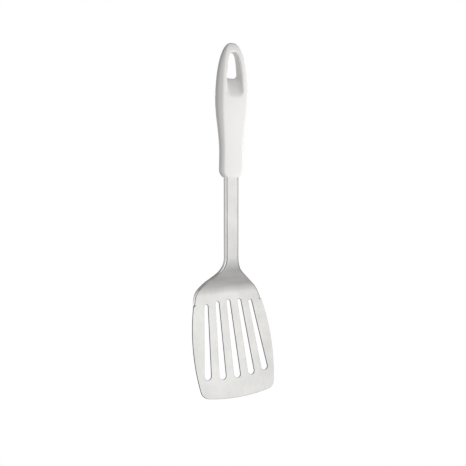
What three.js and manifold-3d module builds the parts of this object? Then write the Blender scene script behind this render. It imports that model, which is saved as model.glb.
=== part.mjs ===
// A slotted kitchen turner: one stainless pressing with a white moulded grip around its tang.
// Sizes are in millimetres. +Z runs up the shank, the front is -Y, and X runs across the blade.
// The origin is the point at the top of the hanging eye where a hook carries the turner.

import * as THREE from 'three';
import { mergeVertices } from 'three/addons/utils/BufferGeometryUtils.js';
import Module from 'manifold-3d';

const wasm = await Module();
wasm.setup();

// Pressed sheet
const SHEET = 1.3;
const BEND_INNER_RADIUS = 0.4;

// Blade, measured on its own flat face from the middle of its tip
const BLADE_LENGTH = 96.6;
const BLADE_WIDTH = 87;
const BLADE_WIDEST_AT = 44.6;
const BLADE_SIDE_RADIUS = 190;
const BLADE_TIP_RADIUS = 188;
const BLADE_TIP_SKEW = THREE.MathUtils.degToRad(1.1);
const BLADE_CORNER_RADIUS = 9;
const BLADE_PITCH = THREE.MathUtils.degToRad(14.3);

// Drain slots, fanned about the middle one
const SLOTS_EACH_SIDE = 2;
const SLOT_TIP_MARGIN = 18;
const SLOT_HEEL_MARGIN = 3.1;
const SLOT_BOTTOM_PITCH = 15.7;
const SLOT_TOP_PITCH = 12.3;
const SLOT_BOTTOM_WIDTH = 7.4;
const SLOT_TOP_WIDTH = 4.3;
const SLOT_BOTTOM_ARC_RADIUS = 177;
const SLOT_TOP_ARC_RADIUS = 132;

// Heel bend at the top of the blade and crank bend at the foot of the shank
const HEEL_RADIUS = 22;
const CRANK_RADIUS = 36;
const CRANK_ANGLE = THREE.MathUtils.degToRad(35);

// Shoulders, which slope in from the blade's sides to the shank
const SHOULDER_SLOPE = THREE.MathUtils.degToRad(46.4);
const SHOULDER_RADIUS = 23.5;
const NECK_RADIUS = 22;
const NECK_DROP = 9;

// Turned-back rim, which fades out beside the heel
const RIM_DEPTH = 5.2;
const RIM_EDGE = 0.4;
const RIM_FADE_ABOVE_HEEL = 16;
const RIM_FADE_BELOW_HEEL = 7;
const RIM_UNROLL_LENGTH = 3;

// Channel shank and tang
const SHANK_WIDTH = 14;
const SHANK_LENGTH = 77;
const SHANK_FACE_SET = 3.6;
const TANG_END_WALL = 11;
const TANG_HOLE_WIDTH = 5.4;
const TANG_HOLE_INSET = 17;

// Moulded grip
const GRIP_LENGTH = 123.8;
const GRIP_ABOVE_EYE = 8.4;
const GRIP_LEAN = THREE.MathUtils.degToRad(1.1);
const GRIP_CORNER_SHARE = 0.82;
const GRIP_CROWN_SHARE = 0.12;
const SWELL_WIDTH = 32.4;
const SWELL_DEPTH = 13.8;
const SWELL_HEIGHT = 73;
const WAIST_WIDTH = 23.8;
const WAIST_DEPTH = 9.8;
const WAIST_HEIGHT = 23;
const NOSE_WIDTH = 24.4;
const NOSE_ROUND = 7;
const NOSE_WALL = 0.8;
const ARCH_WIDTH_POWER = 2;
const ARCH_DEPTH_POWER = 1.5;
const ARCH_ROUND_POWER = 2.4;

// Hanging eye and its thumb ramp
const EYE_WIDTH = 16.5;
const EYE_ROUND_POWER = 2.8;
const EYE_FRONT_CORNER_RADIUS = 5;
const EYE_BACK_CORNER_RADIUS = 3;
const EYE_BACK_LENGTH = 22.7;
const EYE_FRONT_LENGTH = 40.3;
const EYE_RIM_ROUND = 1.6;
const RAMP_ROLL = THREE.MathUtils.degToRad(60);

// Clearance between the tang and the grip moulded round it
const CLEARANCE = 0.3;

// Facet counts
const BEND_STEPS = 4;
const SIDE_STEPS = 12;
const RIM_END_STEPS = 8;
const SHOULDER_STEPS = 11;
const TIP_STEPS = 12;
const SLOT_END_STEPS = 8;
const HOLE_SIDES = 24;
const NOSE_STEPS = 7;
const BELLY_STEPS = 16;
const ARCH_STEPS = 22;
const CORNER_STEPS = 5;
const FACE_STEPS = 4;
const EYE_SIDE_STEPS = 9;
const EYE_CORNER_STEPS = 5;
const EYE_RIM_STEPS = 4;
const RAMP_STEPS = 10;

// The turn that stands for none on the flat blade, and the least radius inside a bend
const FLAT_TURN = 0.001;
const TIGHTEST_BEND = 0.05;

// How deep a cutter is in sheet thicknesses, and how near two points are that count as one
const CUTTER_REACH = 6;
const WELD = 1e-5;

// The most of the eye's half width that its corners may take, and where the grip's arch ends
const EYE_CORNER_SHARE = 0.8;
const ARCH_END = 0.985;

const BEND_RADIUS = SHEET + BEND_INNER_RADIUS;
const RIM_END = BLADE_LENGTH - RIM_FADE_BELOW_HEEL;

const NOSE_Z = GRIP_ABOVE_EYE - GRIP_LENGTH;
const CRANK_TOP_Z = NOSE_Z - SHANK_LENGTH;
const HEEL_END = BLADE_LENGTH + HEEL_RADIUS * (CRANK_ANGLE + BLADE_PITCH);
const CRANK_END = HEEL_END + CRANK_RADIUS * CRANK_ANGLE;
const SHANK_TOP = CRANK_END + SHANK_LENGTH;
const TANG_LENGTH = GRIP_LENGTH - GRIP_ABOVE_EYE - EYE_FRONT_LENGTH - EYE_RIM_ROUND - TANG_END_WALL;
const TANG_TOP = SHANK_TOP + TANG_LENGTH;
const TANG_HOLE_HEIGHTS = [TANG_HOLE_INSET, TANG_LENGTH - TANG_HOLE_INSET];

// The grip's middle plane leans forward of the shank as it rises, and passes through the origin.
function gripMiddle(z) {
  return -Math.tan(GRIP_LEAN) * z;
}

// The shank's face lies in front of the grip's middle plane where it enters the nose.
const SHANK_FACE_Y = gripMiddle(NOSE_Z) - SHANK_FACE_SET;

// Booleans

function solidOf(geometry) {
  const bare = geometry.clone();
  bare.deleteAttribute('normal');
  bare.deleteAttribute('uv');
  const merged = mergeVertices(bare, WELD);
  const mesh = new wasm.Mesh({
    numProp: 3,
    vertProperties: new Float32Array(merged.attributes.position.array),
    triVerts: new Uint32Array(merged.index.array),
  });
  return new wasm.Manifold(mesh);
}

function geometryOf(solid) {
  const mesh = solid.getMesh();
  const geometry = new THREE.BufferGeometry();
  geometry.setAttribute('position', new THREE.BufferAttribute(mesh.vertProperties, mesh.numProp));
  geometry.setIndex(new THREE.BufferAttribute(mesh.triVerts, 1));
  geometry.computeVertexNormals();
  return geometry;
}

// A closed skin through rings of points, each ring counter-clockwise about the direction of travel.
// Every station has a flat section and a function that places a point of it in space.
function loft(stations) {
  const count = stations[0].section.length;
  const positions = [];
  const triangles = [];
  for (const { section, place } of stations) {
    for (const point of section) {
      positions.push(...place(point).toArray());
    }
  }
  for (let ring = 0; ring + 1 < stations.length; ring += 1) {
    for (let side = 0; side < count; side += 1) {
      const next = (side + 1) % count;
      const a = ring * count + side;
      const b = ring * count + next;
      const c = a + count;
      const d = b + count;
      triangles.push(a, b, d, a, d, c);
    }
  }
  const last = (stations.length - 1) * count;
  for (const [a, b, c] of THREE.ShapeUtils.triangulateShape(stations[0].section, [])) {
    triangles.push(a, c, b);
  }
  for (const [a, b, c] of THREE.ShapeUtils.triangulateShape(stations.at(-1).section, [])) {
    triangles.push(last + a, last + b, last + c);
  }
  const geometry = new THREE.BufferGeometry();
  geometry.setAttribute('position', new THREE.Float32BufferAttribute(positions, 3));
  geometry.setIndex(triangles);
  return geometry;
}

// Pressing

// A point on the front face's middle line, at a distance from the tip along the sheet, with the
// angle by which the sheet leans there: positive where it runs back on its way down.
function spine(distance) {
  const heelLean = CRANK_ANGLE - (HEEL_END - distance) / HEEL_RADIUS;
  const crankLean = (CRANK_END - distance) / CRANK_RADIUS;
  const front = (lean) => new THREE.Vector3(0, -Math.cos(lean), -Math.sin(lean));
  const crankPoint = (lean) => new THREE.Vector3(
    0,
    SHANK_FACE_Y + CRANK_RADIUS * (1 - Math.cos(lean)),
    CRANK_TOP_Z - CRANK_RADIUS * Math.sin(lean),
  );
  const heelCentre = crankPoint(CRANK_ANGLE).addScaledVector(front(CRANK_ANGLE), HEEL_RADIUS);
  const heelPoint = (lean) => heelCentre.clone().addScaledVector(front(lean), -HEEL_RADIUS);
  if (distance >= CRANK_END) {
    const point = new THREE.Vector3(0, SHANK_FACE_Y, CRANK_TOP_Z + distance - CRANK_END);
    return { point, front: front(0) };
  }
  if (distance >= HEEL_END) {
    return { point: crankPoint(crankLean), front: front(crankLean) };
  }
  if (distance >= BLADE_LENGTH) {
    return { point: heelPoint(heelLean), front: front(heelLean) };
  }
  const up = new THREE.Vector3(0, Math.sin(BLADE_PITCH), Math.cos(BLADE_PITCH));
  const point = heelPoint(-BLADE_PITCH).addScaledVector(up, distance - BLADE_LENGTH);
  return { point, front: front(-BLADE_PITCH) };
}

// A level cut through the sheet with both edges turned back: across by depth behind the front face.
// The bend keeps its developed length while it unrolls, so the flat blade has the same points.
// The wall is the sheet's thickness as the cut meets it, across the rim and through the face.
// Grow swells the section outwards all round, for the socket that the sheet sits in.
function sheetSection(halfWidth, rim, turn, wall, grow) {
  const radius = BEND_RADIUS * Math.PI / 2 / turn;
  const start = halfWidth - radius * Math.sin(turn) - rim * Math.cos(turn);
  const skin = (across, through) => {
    const points = [];
    const add = (angle, past) => points.push(new THREE.Vector2(
      start + across * Math.sin(angle) + past * Math.cos(angle),
      radius - through * Math.cos(angle) + past * Math.sin(angle),
    ));
    for (let step = 0; step <= BEND_STEPS; step += 1) {
      add(turn * step / BEND_STEPS, 0);
    }
    add(turn, rim + grow);
    return points;
  };
  const innerRadius = (thickness) => Math.max(radius - thickness - grow, TIGHTEST_BEND);
  const outside = skin(radius + grow, radius + grow);
  const inside = skin(innerRadius(wall.across), innerRadius(wall.through));
  const mirrored = (points) => points.map((point) => new THREE.Vector2(-point.x, point.y));
  return [...mirrored(outside).reverse(), ...outside, ...inside.reverse(), ...mirrored(inside).reverse()];
}

// One level cut of the pressing. The rim runs straight back, as the press tool draws it.
function sheetStation({ halfWidth, distance, slope }, grow = 0) {
  const { smoothstep, lerp, clamp } = THREE.MathUtils;
  const rise = (distance - RIM_END) / (RIM_FADE_BELOW_HEEL + RIM_FADE_ABOVE_HEEL);
  const fade = clamp(rise, 0, 1);
  const unroll = smoothstep(distance, RIM_END, RIM_END + RIM_UNROLL_LENGTH);
  const rim = lerp(RIM_EDGE, RIM_DEPTH - BEND_RADIUS, fade);
  const turn = lerp(FLAT_TURN, Math.PI / 2, unroll);
  const { point, front } = spine(distance);
  const wall = { across: SHEET * Math.hypot(1, slope), through: SHEET / -front.y };
  return {
    section: sheetSection(halfWidth, rim, turn, wall, grow),
    place: ({ x, y }) => new THREE.Vector3(x, point.y + y, point.z),
  };
}

// The centre of a circle that touches two others from inside, on the right and below.
function fillet(first, firstRadius, second, secondRadius, radius) {
  const reachFirst = firstRadius - radius;
  const reachSecond = secondRadius - radius;
  const between = second.clone().sub(first);
  const span = between.length();
  const along = (reachFirst ** 2 - reachSecond ** 2 + span ** 2) / (2 * span);
  const aside = Math.sqrt(reachFirst ** 2 - along ** 2);
  const direction = between.normalize();
  const centre = first.clone().addScaledVector(direction, along);
  const normal = new THREE.Vector2(-direction.y, direction.x);
  return centre.addScaledVector(normal, normal.y < 0 ? aside : -aside);
}

const sideCentre = new THREE.Vector2(BLADE_WIDTH / 2 - BLADE_SIDE_RADIUS, BLADE_WIDEST_AT);

function angleAt(centre, point) {
  return Math.atan2(point.y - centre.y, point.x - centre.x);
}

// Half of the blank's outline from below the tip to the end of the tang, in the flat: its half-width
// and slope at distances from the tip. Arcs at shoulder and neck touch the straight slope between.
function blankOutline() {
  const half = SHANK_WIDTH / 2;
  const neckCorner = new THREE.Vector2(half, CRANK_END - NECK_DROP);
  const outwards = new THREE.Vector2(Math.sin(SHOULDER_SLOPE), -Math.cos(SHOULDER_SLOPE));
  const inside = new THREE.Vector2(-Math.cos(SHOULDER_SLOPE), -Math.sin(SHOULDER_SLOPE));
  const fromSide = neckCorner.clone().addScaledVector(inside, SHOULDER_RADIUS).sub(sideCentre);
  const along = fromSide.dot(outwards);
  const reach = BLADE_SIDE_RADIUS - SHOULDER_RADIUS;
  const run = Math.sqrt(along ** 2 - fromSide.lengthSq() + reach ** 2) - along;
  const shoulderCentre = fromSide.add(sideCentre).addScaledVector(outwards, run);
  const shoulderStart = angleAt(sideCentre, shoulderCentre);
  const sideAngle = (distance) => Math.asin((distance - BLADE_WIDEST_AT) / BLADE_SIDE_RADIUS);
  const belowTip = sideAngle(-BLADE_CORNER_RADIUS);
  const rimEnd = Math.min(sideAngle(RIM_END), shoulderStart);
  const neckRun = NECK_RADIUS * Math.tan(SHOULDER_SLOPE / 2);
  const neckTop = neckCorner.y + neckRun;
  const arc = (centre, radius, from, to, clockwise) => new THREE.EllipseCurve(
    centre.x, centre.y, radius, radius, from, to, clockwise,
  );
  const neckCentre = new THREE.Vector2(half + NECK_RADIUS, neckTop);
  const runs = [
    [arc(sideCentre, BLADE_SIDE_RADIUS, belowTip, rimEnd, false), SIDE_STEPS],
    [arc(sideCentre, BLADE_SIDE_RADIUS, rimEnd, shoulderStart, false), RIM_END_STEPS],
    [arc(shoulderCentre, SHOULDER_RADIUS, shoulderStart, SHOULDER_SLOPE, false), SHOULDER_STEPS],
    [new THREE.LineCurve(
      shoulderCentre.clone().addScaledVector(inside, -SHOULDER_RADIUS),
      neckCorner.clone().addScaledVector(outwards, neckRun),
    ), SHOULDER_STEPS],
    [arc(neckCentre, NECK_RADIUS, SHOULDER_SLOPE + Math.PI, Math.PI, true), SHOULDER_STEPS],
  ];
  const stations = [];
  for (const [curve, steps] of runs.filter(([run]) => run.getLength() > WELD)) {
    for (let step = 0; step < steps; step += 1) {
      const point = curve.getPoint(step / steps);
      const tangent = curve.getTangent(step / steps);
      stations.push({ halfWidth: point.x, distance: point.y, slope: tangent.x / tangent.y });
    }
  }
  const straight = [neckTop, CRANK_END, SHANK_TOP, TANG_TOP].filter((distance) => distance >= neckTop);
  return [...stations, ...straight.map(shankStation)];
}

function shankStation(distance) {
  return { halfWidth: SHANK_WIDTH / 2, distance, slope: 0 };
}

// A cutter through the blade: a flat shape on its face, carried through the sheet.
function bladeCutter(shape, steps) {
  const depth = CUTTER_REACH * SHEET;
  const geometry = new THREE.ExtrudeGeometry(shape, { depth, bevelEnabled: false, curveSegments: steps });
  geometry.translate(0, 0, -depth / 2);
  const { point, front } = spine(0);
  const across = new THREE.Vector3(1, 0, 0);
  const up = front.clone().cross(across);
  const matrix = new THREE.Matrix4().makeBasis(across, up, front).setPosition(point);
  return solidOf(geometry.applyMatrix4(matrix));
}

// One corner of the tip, drawn as a right-hand one: its centre and the turns at which its round
// touches the side and the tip's curve. The skew lets the right of the tip hang lower than its left.
function tipCorner(skew) {
  const tipCentre = new THREE.Vector2(Math.sin(skew), Math.cos(skew)).multiplyScalar(BLADE_TIP_RADIUS);
  const centre = fillet(sideCentre, BLADE_SIDE_RADIUS, tipCentre, BLADE_TIP_RADIUS, BLADE_CORNER_RADIUS);
  const sideTurn = angleAt(sideCentre, centre);
  const sideY = centre.y + BLADE_CORNER_RADIUS * Math.sin(sideTurn);
  return { tipCentre, centre, sideTurn, sideY, tipTurn: angleAt(tipCentre, centre) };
}

// What is trimmed off below the tip: its curve, and the two rounded corners.
function tipOffcut() {
  const right = tipCorner(BLADE_TIP_SKEW);
  const left = tipCorner(-BLADE_TIP_SKEW);
  const leftTip = -Math.PI - left.tipTurn;
  const leftSide = -Math.PI - left.sideTurn;
  const margin = BLADE_WIDTH;
  const shape = new THREE.Shape();
  shape.moveTo(-margin, -margin);
  shape.lineTo(margin, -margin);
  shape.lineTo(margin, right.sideY);
  shape.absarc(right.centre.x, right.centre.y, BLADE_CORNER_RADIUS, right.sideTurn, right.tipTurn, true);
  shape.absarc(right.tipCentre.x, right.tipCentre.y, BLADE_TIP_RADIUS, right.tipTurn, leftTip, true);
  shape.absarc(-left.centre.x, left.centre.y, BLADE_CORNER_RADIUS, leftTip, leftSide, true);
  shape.lineTo(-margin, left.sideY);
  return bladeCutter(shape, TIP_STEPS);
}

// One drain slot: two round ends of different size and the lines that touch both.
function drainSlot(place) {
  const bottomRadius = SLOT_BOTTOM_WIDTH / 2;
  const topRadius = SLOT_TOP_WIDTH / 2;
  const bottomX = place * SLOT_BOTTOM_PITCH;
  const topX = place * SLOT_TOP_PITCH;
  const bottom = new THREE.Vector2(
    bottomX, SLOT_TIP_MARGIN + bottomRadius + bottomX ** 2 / (2 * SLOT_BOTTOM_ARC_RADIUS),
  );
  const top = new THREE.Vector2(
    topX, BLADE_LENGTH - SLOT_HEEL_MARGIN - topRadius - topX ** 2 / (2 * SLOT_TOP_ARC_RADIUS),
  );
  const axis = angleAt(bottom, top);
  const splay = Math.acos((bottomRadius - topRadius) / bottom.distanceTo(top));
  const shape = new THREE.Shape();
  shape.absarc(top.x, top.y, topRadius, axis - splay, axis + splay, false);
  shape.absarc(bottom.x, bottom.y, bottomRadius, axis + splay, axis - splay + 2 * Math.PI, false);
  return bladeCutter(shape, SLOT_END_STEPS);
}

// A round pin across the tang: the hole pressed in it, or the plug that fills the hole.
function tangPin(height, width) {
  const geometry = new THREE.CylinderGeometry(width / 2, width / 2, CUTTER_REACH * SHEET, HOLE_SIDES);
  geometry.translate(0, SHANK_FACE_Y, NOSE_Z + height);
  return solidOf(geometry);
}

function pressing() {
  const stations = blankOutline().map((station) => sheetStation(station));
  let solid = solidOf(loft(stations)).subtract(tipOffcut());
  for (let place = -SLOTS_EACH_SIDE; place <= SLOTS_EACH_SIDE; place += 1) {
    solid = solid.subtract(drainSlot(place));
  }
  for (const height of TANG_HOLE_HEIGHTS) {
    solid = solid.subtract(tangPin(height, TANG_HOLE_WIDTH));
  }
  return geometryOf(solid);
}

// Grip

// Half the grip's width and depth at a height, with the corner radius of its section there.
function gripSize(z) {
  const { lerp, clamp } = THREE.MathUtils;
  const wave = (from, to, t) => lerp(from, to, (1 - Math.cos(Math.PI * clamp(t, 0, 1))) / 2);
  const height = z - NOSE_Z;
  const above = clamp((height - SWELL_HEIGHT) / (GRIP_LENGTH - SWELL_HEIGHT), 0, 1);
  const belly = (height - WAIST_HEIGHT) / (SWELL_HEIGHT - WAIST_HEIGHT);
  const arch = (power) => (1 - above ** power) ** (1 / ARCH_ROUND_POWER);
  const neck = wave(NOSE_WIDTH, WAIST_WIDTH, height / WAIST_HEIGHT);
  let width = height < WAIST_HEIGHT ? neck : wave(WAIST_WIDTH, SWELL_WIDTH, belly);
  let depth = wave(WAIST_DEPTH, SWELL_DEPTH, belly);
  width *= arch(ARCH_WIDTH_POWER);
  depth *= arch(ARCH_DEPTH_POWER);
  const inset = clamp(1 - height / NOSE_ROUND, 0, 1) ** 2;
  const mouth = 2 * (CLEARANCE + NOSE_WALL);
  width = lerp(width, SHANK_WIDTH + mouth, inset);
  depth = lerp(depth, 2 * SHANK_FACE_SET + mouth, inset);
  return { halfWidth: width / 2, halfDepth: depth / 2 };
}

// A rounded rectangle whose front and back are slightly crowned. Its corners and crown take shares
// of the section, so the whole grip keeps one character from nose to arch.
function gripSection(halfWidth, halfDepth) {
  const crown = GRIP_CROWN_SHARE * halfDepth;
  const flat = halfDepth - crown;
  const radius = GRIP_CORNER_SHARE * Math.min(flat, halfWidth);
  const points = [];
  const corners = [[1, -1, -Math.PI / 2], [1, 1, 0], [-1, 1, Math.PI / 2], [-1, -1, Math.PI]];
  for (const [right, back, from] of corners) {
    const x = right * (halfWidth - radius);
    const y = back * (flat - radius);
    for (let step = 0; step <= CORNER_STEPS; step += 1) {
      const angle = from + step / CORNER_STEPS * Math.PI / 2;
      points.push(new THREE.Vector2(x + radius * Math.cos(angle), y + radius * Math.sin(angle)));
    }
    const start = points.at(-1);
    const faceSteps = right === back ? FACE_STEPS : 0;
    for (let step = 1; step < faceSteps; step += 1) {
      points.push(new THREE.Vector2(start.x * (1 - 2 * step / FACE_STEPS), start.y));
    }
  }
  for (const point of points) {
    point.y += Math.sign(point.y) * crown * (1 - (point.x / halfWidth) ** 2);
  }
  return points;
}

function gripStation(z) {
  const { halfWidth, halfDepth } = gripSize(z);
  return {
    section: gripSection(halfWidth, halfDepth),
    place: ({ x, y }) => new THREE.Vector3(x, gripMiddle(z) + y, z),
  };
}

// Heights of the grip's sections: close together round the nose and at the top of the arch.
function gripHeights() {
  const { lerp } = THREE.MathUtils;
  const heights = [];
  for (let step = 0; step < NOSE_STEPS; step += 1) {
    heights.push(NOSE_Z + NOSE_ROUND * (1 - Math.cos(step / NOSE_STEPS * Math.PI / 2)));
  }
  const swellZ = NOSE_Z + SWELL_HEIGHT;
  for (let step = 0; step < BELLY_STEPS; step += 1) {
    heights.push(lerp(NOSE_Z + NOSE_ROUND, swellZ, step / BELLY_STEPS));
  }
  for (let step = 0; step <= ARCH_STEPS; step += 1) {
    const turn = ARCH_END * step / ARCH_STEPS * Math.PI / 2;
    heights.push(lerp(swellZ, GRIP_ABOVE_EYE, Math.sin(turn)));
  }
  return heights;
}

// Half the eye's width at a depth below its top, which is the origin.
function eyeHalfWidth(below) {
  const left = 1 - Math.min(below / EYE_FRONT_LENGTH, 1);
  return EYE_WIDTH / 2 * (1 - left ** 2) ** (1 / EYE_ROUND_POWER);
}

// The eye's outline at one layer of the grip: a round top, sides that widen down to the rounded corners
// of the foot. Swell moves every point outwards.
function eyeOutline(foot, corner, swell) {
  const radius = Math.min(corner, EYE_CORNER_SHARE * EYE_WIDTH / 2);
  const cornerBelow = foot - radius;
  const cornerX = eyeHalfWidth(cornerBelow) - radius;
  const half = [];
  for (let step = 1; step <= EYE_SIDE_STEPS; step += 1) {
    const below = cornerBelow * (step / EYE_SIDE_STEPS) ** 2;
    half.push(new THREE.Vector2(-eyeHalfWidth(below), -below));
  }
  for (let step = 1; step <= EYE_CORNER_STEPS; step += 1) {
    const turn = step / EYE_CORNER_STEPS * Math.PI / 2;
    half.push(new THREE.Vector2(
      -cornerX - radius * Math.cos(turn),
      -cornerBelow - radius * Math.sin(turn),
    ));
  }
  const otherHalf = half.map((point) => new THREE.Vector2(-point.x, point.y));
  const points = [new THREE.Vector2(), ...half, ...otherHalf.reverse()];
  return points.map((point, index) => {
    const before = points.at(index - 1);
    const after = points.at((index + 1) % points.length);
    const run = after.clone().sub(before).normalize();
    return new THREE.Vector2(point.x + swell * run.y, point.y - swell * run.x);
  });
}

// The cutter for the eye, from back to front: its rims are rounded and its foot falls forward as a ramp.
function eyeCutter() {
  const { lerp, clamp } = THREE.MathUtils;
  const nearDepth = gripSize(-EYE_BACK_LENGTH / 2).halfDepth;
  const rim = [];
  for (let step = 0; step <= EYE_RIM_STEPS; step += 1) {
    const angle = step / EYE_RIM_STEPS * Math.PI / 2;
    const share = 1 - EYE_RIM_ROUND * (1 - Math.cos(angle)) / nearDepth;
    rim.push({ share, swell: EYE_RIM_ROUND * (1 - Math.sin(angle)) });
  }
  const inner = rim.at(-1).share;
  const middle = [];
  for (let step = 1; step < RAMP_STEPS; step += 1) {
    middle.push({ share: lerp(inner, -inner, step / RAMP_STEPS), swell: 0 });
  }
  const front = rim.map(({ share, swell }) => ({ share: -share, swell })).reverse();
  const past = { share: 1 + EYE_RIM_ROUND / nearDepth, swell: EYE_RIM_ROUND };
  const layers = [past, ...rim, ...middle, ...front, { ...past, share: -past.share }];
  const stations = layers.map(({ share, swell }) => {
    const roll = RAMP_ROLL * clamp((share + 1) / 2, 0, 1);
    const rise = Math.sin(roll) / Math.sin(RAMP_ROLL);
    const foot = lerp(EYE_FRONT_LENGTH, EYE_BACK_LENGTH, rise);
    const corner = lerp(EYE_FRONT_CORNER_RADIUS, EYE_BACK_CORNER_RADIUS, rise);
    return {
      section: eyeOutline(foot, corner, swell),
      place: ({ x, y }) => new THREE.Vector3(x, gripMiddle(y) + share * gripSize(y).halfDepth, y),
    };
  });
  return solidOf(loft(stations));
}

// The socket that the tang fills, less the plugs of moulding that pass through its holes.
function tangSocket() {
  const bottom = sheetStation(shankStation(SHANK_TOP - NOSE_ROUND), CLEARANCE);
  const top = sheetStation(shankStation(TANG_TOP + CLEARANCE), CLEARANCE);
  let solid = solidOf(loft([bottom, top]));
  for (const height of TANG_HOLE_HEIGHTS) {
    solid = solid.subtract(tangPin(height, TANG_HOLE_WIDTH - 2 * CLEARANCE));
  }
  return solid;
}

function grip() {
  const body = solidOf(loft(gripHeights().map(gripStation)));
  return geometryOf(body.subtract(eyeCutter()).subtract(tangSocket()));
}

// The turner

const steel = new THREE.MeshStandardMaterial({ color: 0xc9c9c6, roughness: 0.38, metalness: 1 });
const whitePlastic = new THREE.MeshStandardMaterial({ color: 0xeeeeec, roughness: 0.25, metalness: 0 });

const bladeAndShank = new THREE.Mesh(pressing(), steel);
bladeAndShank.name = 'blade_and_shank';

const handle = new THREE.Mesh(grip(), whitePlastic);
handle.name = 'handle';

const turner = new THREE.Group();
turner.name = 'turner';
turner.add(bladeAndShank, handle);

export default turner;
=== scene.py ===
import math
import bmesh
import bpy
import numpy as np
from mathutils import Matrix, Vector


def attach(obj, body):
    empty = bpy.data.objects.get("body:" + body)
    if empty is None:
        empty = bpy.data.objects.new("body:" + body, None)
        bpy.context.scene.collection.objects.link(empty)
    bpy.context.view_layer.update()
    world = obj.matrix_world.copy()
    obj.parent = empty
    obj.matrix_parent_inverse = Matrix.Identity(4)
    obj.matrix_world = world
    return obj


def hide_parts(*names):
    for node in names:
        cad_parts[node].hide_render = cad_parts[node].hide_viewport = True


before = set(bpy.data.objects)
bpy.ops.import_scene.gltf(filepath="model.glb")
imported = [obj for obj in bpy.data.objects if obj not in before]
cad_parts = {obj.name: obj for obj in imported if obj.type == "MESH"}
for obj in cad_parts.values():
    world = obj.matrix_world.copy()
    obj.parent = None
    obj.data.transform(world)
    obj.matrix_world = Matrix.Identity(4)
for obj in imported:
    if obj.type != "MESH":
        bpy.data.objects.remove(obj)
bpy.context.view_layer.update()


# Pressed blade, shoulders, shank and tang: one piece of satin stainless sheet, 1.3 mm thick.
# It is blanked with five fanned drain slots, bent at heel and crank, and its edges are turned
# back as a rim that grows along the shoulders into the two flanges of the channel shank.
MILLIMETRE = 0.001
SHEET, EDGE_ROUND = 1.3, 0.22
BLADE_LENGTH, BLADE_HALF, BLADE_WIDEST_AT = 96.6, 43.46, 44.6
SIDE_RADIUS, TIP_RADIUS, CORNER_RADIUS = 190.0, 188.0, 9.0
TIP_SKEW, BLADE_PITCH = math.radians(1.1), math.radians(14.3)
SLOT_PLACES = np.arange(-2, 3)
SLOT_BOTTOM_PITCH, SLOT_TOP_PITCH = 15.7, 12.3
SLOT_BOTTOM_RADIUS, SLOT_TOP_RADIUS = 3.7, 2.15
SLOT_TIP_MARGIN, SLOT_HEEL_MARGIN = 18.0, 3.1
SLOT_BOTTOM_SWEEP, SLOT_TOP_SWEEP = 177.0, 132.0
HEEL_RADIUS, CRANK_RADIUS, CRANK = 22.0, 36.0, math.radians(35)
SHOULDER_SLOPE, SHOULDER_RADIUS = math.radians(46.4), 23.5
NECK_RADIUS, NECK_DROP = 22.0, 9.0
RIM_DEPTH, RIM_EDGE, RIM_UNROLL = 5.2, 0.4, 3.0
RIM_BELOW_HEEL, RIM_ABOVE_HEEL = 7.0, 16.0
BEND_RADIUS, TIGHTEST_BEND, FLAT_TURN = 1.7, 0.05, 0.001
SHANK_HALF, SHANK_LENGTH, TANG_LENGTH = 7.0, 77.0, 62.5
SHANK_FACE_Y, NOSE_Z = -1.3842, -115.4
SLOT_BOTTOM_AT, SLOT_TOP_AT = SLOT_TIP_MARGIN, BLADE_LENGTH - SLOT_HEEL_MARGIN
RIM_END, RIM_FADE = BLADE_LENGTH - RIM_BELOW_HEEL, RIM_BELOW_HEEL + RIM_ABOVE_HEEL
CRANK_TOP_Z = NOSE_Z - SHANK_LENGTH
HEEL_END = BLADE_LENGTH + HEEL_RADIUS * (CRANK + BLADE_PITCH)
CRANK_END = HEEL_END + CRANK_RADIUS * CRANK
TANG_TOP = CRANK_END + SHANK_LENGTH + TANG_LENGTH
STEEL_DULL, STEEL_BRIGHT = (0.825, 0.82, 0.80, 1), (0.905, 0.90, 0.878, 1)
# Near-black colour of the cut edges: painted shade, not the steel's own colour.
EDGE_PAINTED_SHADE = (0.08, 0.08, 0.078, 1)

# Points along the lines of the layout, and the heights where its rows meet the blade's sides.
WEB_POINTS, SLOT_END_POINTS, SLOT_SIDE_POINTS = 7, 12, 18
ROUND_POINTS, TIP_POINTS, SIDE_POINTS, TIP_ROWS = 24, 200, 60, 22
SLOPE_POINTS, NECK_POINTS, SHANK_POINTS = 12, 20, 30
BEND_STEPS, FLANGE_STEPS = 8, 4
LOWEST_END, SLOT_ROW_END, STRAIGHT_AT, SETTLE_RUN = 22.6, 88.6, 100.0, 2.0


def spine(distance):
    """Front face's middle line: y, z and lean at a distance from the tip along the sheet.
    A straight blade at its pitch, the heel's arc, the crank's opposite arc, then straight up;
    each bend's own turn is clipped to its range, so the arcs and straights simply add up."""
    crank = np.clip((CRANK_END - distance) / CRANK_RADIUS, 0, CRANK)
    heel = np.clip(CRANK - (HEEL_END - distance) / HEEL_RADIUS, -BLADE_PITCH, CRANK)
    below = np.minimum(distance - BLADE_LENGTH, 0)
    above = np.maximum(distance - CRANK_END, 0)
    y = SHANK_FACE_Y + CRANK_RADIUS * (1 - np.cos(crank))
    y = y + HEEL_RADIUS * (np.cos(heel) - math.cos(CRANK)) + math.sin(BLADE_PITCH) * below
    z = CRANK_TOP_Z - CRANK_RADIUS * np.sin(crank)
    z = z + HEEL_RADIUS * (np.sin(heel) - math.sin(CRANK)) + math.cos(BLADE_PITCH) * below + above
    return y, z, crank + heel - CRANK


def arc(centre, radius, start, end, count):
    """Points on a circle, from one turn to another in equal steps."""
    turn = np.linspace(start, end, count)
    return np.stack([centre[0] + radius * np.cos(turn), centre[1] + radius * np.sin(turn)], axis=1)


def spread(line, share):
    """Points on a polyline at shares of its length."""
    run = np.append(0, np.cumsum(np.linalg.norm(np.diff(line, axis=0), axis=1)))
    return np.stack([np.interp(share * run[-1], run, line[:, axis]) for axis in (0, 1)], axis=1)


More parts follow.
